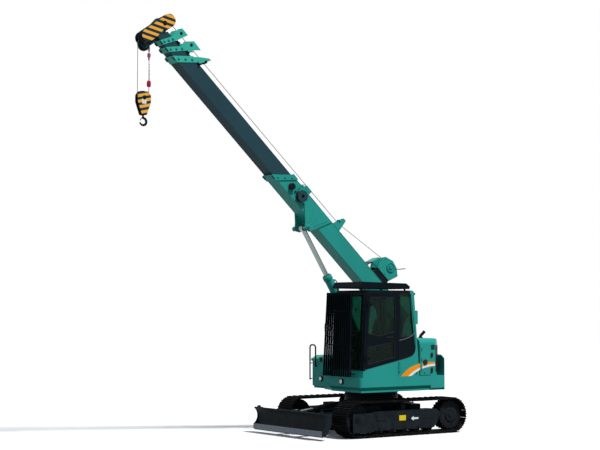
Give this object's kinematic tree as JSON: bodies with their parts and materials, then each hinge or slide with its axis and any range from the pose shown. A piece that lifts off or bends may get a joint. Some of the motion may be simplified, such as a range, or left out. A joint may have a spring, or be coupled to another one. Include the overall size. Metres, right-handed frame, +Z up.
{
  "type": "crawler crane",
  "caption": "Small tracked crane with a slewing cab, a telescopic boom raised by a lift cylinder, a winch, a hook block and a dozer blade.",
  "frame": {"origin": "on the slew axis at ground level", "axes": "+X forwards, towards the blade and the hook; +Y to the machine's left, the cab side; +Z up along the slew axis"},
  "size_m": [6.3722, 2.2, 7.428],
  "materials": {
    "teal_paint": "gloss",
    "black_paint": "satin",
    "frame_paint": "satin",
    "slate_paint": "satin",
    "track_shoe": "matte",
    "running_gear": "satin",
    "worn_edge": "worn",
    "weight_iron": "painted",
    "machined_steel": "machined",
    "rod_steel": "polished",
    "window_glass": "tinted",
    "seat_cloth": "woven",
    "dark_plastic": "moulded",
    "hazard_paint": "striped",
    "engine_iron": "cast",
    "pale_paint": "satin",
    "rope_steel": "stranded",
    "red_paint": "gloss",
    "lamp_face": "moulded"
  },
  "bodies": {
    "undercarriage": {"carbody": "frame_paint", "slew_ring": "machined_steel", "track_frame_left": "frame_paint", "track_frame_right": "frame_paint", "track_left": "track_shoe", "track_right": "track_shoe", "sprocket_left": "running_gear", "sprocket_right": "running_gear", "track_rollers_left": "running_gear", "track_rollers_right": "running_gear"},
    "blade": {"dozer_blade": "frame_paint", "cutting_edge": "worn_edge"},
    "blade_ram": {"blade_ram_barrel": "frame_paint"},
    "blade_rod": {"blade_ram_rod": "rod_steel"},
    "upper": {"upper_frame": "teal_paint", "cab_base": "teal_paint", "counterweight": "weight_iron", "engine_bay": "teal_paint", "engine": "engine_iron", "louvre": "dark_plastic", "fuel_tank": "teal_paint", "tool_box": "teal_paint", "work_lamps": "lamp_face", "handrail": "black_paint", "cab_shell": "black_paint", "cab_glass": "window_glass", "cab_front_guard": "black_paint", "cab_roof_guard": "black_paint", "operator_seat": "seat_cloth", "controls": "dark_plastic"},
    "hood": {"engine_hood": "teal_paint", "exhaust": "black_paint"},
    "lid": {"tool_box_lid": "pale_paint"},
    "door": {"cab_door": "black_paint", "door_glass": "window_glass"},
    "boom": {"boom_base": "teal_paint", "winch_frame": "teal_paint", "hose_reel": "dark_plastic"},
    "drum": {"winch_drum": "machined_steel"},
    "section_2": {"boom_section_2": "slate_paint", "boom_collar_2": "teal_paint"},
    "section_3": {"boom_section_3": "slate_paint", "boom_collar_3": "teal_paint"},
    "section_4": {"boom_section_4": "slate_paint", "boom_collar_4": "teal_paint"},
    "section_5": {"boom_section_5": "slate_paint", "head_guards": "hazard_paint", "head_sheaves": "machined_steel"},
    "lift_cylinder": {"lift_barrel": "teal_paint"},
    "lift_piston": {"lift_rod": "rod_steel"},
    "falls": {"rope_falls": "rope_steel", "limit_weight": "red_paint"},
    "block": {"hook_block": "hazard_paint", "block_sheave": "machined_steel"},
    "hook": {"hook": "black_paint"}
  },
  "joints": [
    {"name": "slew", "type": "hinge", "parent": "undercarriage", "child": "upper", "pos_m": [0, 0, 0.8], "axis": [0, 0, 1], "continuous": true},
    {"name": "blade_lift", "type": "hinge", "parent": "undercarriage", "child": "blade", "pos_m": [0.665, 0, 0.36], "axis": [0, -1, 0], "range_deg": [-16, 16]},
    {"name": "blade_ram_tilt", "type": "hinge", "parent": "undercarriage", "child": "blade_ram", "pos_m": [0.65, 0, 0.56], "axis": [0, -1, 0], "range_deg": [-20, 20]},
    {"name": "blade_ram_slide", "type": "slide", "parent": "blade_ram", "child": "blade_rod", "axis": [0.9935, 0, -0.1135], "range_m": [-0.09, 0.09]},
    {"name": "boom_lift", "type": "hinge", "parent": "upper", "child": "boom", "pos_m": [-0.4203, -0.15, 2.00342], "axis": [0, -1, 0], "range_deg": [-43, 34.9]},
    {"name": "lift_tilt", "type": "hinge", "parent": "upper", "child": "lift_cylinder", "pos_m": [-0.302, -0.15, 0.95], "axis": [0, -1, 0], "range_deg": [-33, 27]},
    {"name": "lift_slide", "type": "slide", "parent": "lift_cylinder", "child": "lift_piston", "axis": [0.5299, 0, 0.8481], "range_m": [-0.64, 0.52]},
    {"name": "telescope_2", "type": "slide", "parent": "boom", "child": "section_2", "axis": [0.7302, 0, 0.6833], "range_m": [-2.65, 0]},
    {"name": "telescope_3", "type": "slide", "parent": "section_2", "child": "section_3", "axis": [0.7302, 0, 0.6833], "range_m": [0, 2.9]},
    {"name": "telescope_4", "type": "slide", "parent": "section_3", "child": "section_4", "axis": [0.7302, 0, 0.6833], "range_m": [0, 2.9]},
    {"name": "telescope_5", "type": "slide", "parent": "section_4", "child": "section_5", "axis": [0.7302, 0, 0.6833], "range_m": [0, 2.9]},
    {"name": "cab_door_hinge", "type": "hinge", "parent": "upper", "child": "door", "pos_m": [0.89936, 1.042, 1.9], "axis": [0.0565, 0, -0.9984], "range_deg": [0, 80]},
    {"name": "engine_hood_hinge", "type": "hinge", "parent": "upper", "child": "hood", "pos_m": [-0.645, 0.085, 1.76], "axis": [1, 0, 0], "range_deg": [0, 60]},
    {"name": "tool_box_lid_hinge", "type": "hinge", "parent": "upper", "child": "lid", "pos_m": [0.11, -0.67, 1.42], "axis": [0, -1, 0], "range_deg": [0, 75]},
    {"name": "winch_drum_spin", "type": "hinge", "parent": "boom", "child": "drum", "pos_m": [-0.50214, -0.15, 3.0978], "axis": [0, 1, 0], "continuous": true},
    {"name": "falls_plumb", "type": "hinge", "parent": "section_5", "child": "falls", "pos_m": [4.82235, -0.15, 6.84777], "axis": [0, -1, 0], "range_deg": [-35, 43.5]},
    {"name": "hoist", "type": "slide", "parent": "falls", "child": "block", "axis": [0, 0, -1], "range_m": [-0.08, 5.4], "deforming": ["rope_falls"]},
    {"name": "hook_swivel", "type": "hinge", "parent": "block", "child": "hook", "pos_m": [4.82235, -0.15, 5.57], "axis": [0, 0, 1], "continuous": true}
  ],
  "couplings": [
    {"joint": "blade_ram_tilt", "follows": "blade_lift", "ratio": 0.96544},
    {"joint": "blade_ram_slide", "follows": "blade_lift", "m_per_rad": -0.19558},
    {"joint": "lift_tilt", "follows": "boom_lift", "ratio": 0.76},
    {"joint": "lift_slide", "follows": "boom_lift", "m_per_rad": 0.84},
    {"joint": "telescope_4", "follows": "telescope_3", "ratio": 1},
    {"joint": "telescope_5", "follows": "telescope_3", "ratio": 1},
    {"joint": "falls_plumb", "follows": "boom_lift", "ratio": -1}
  ]
}
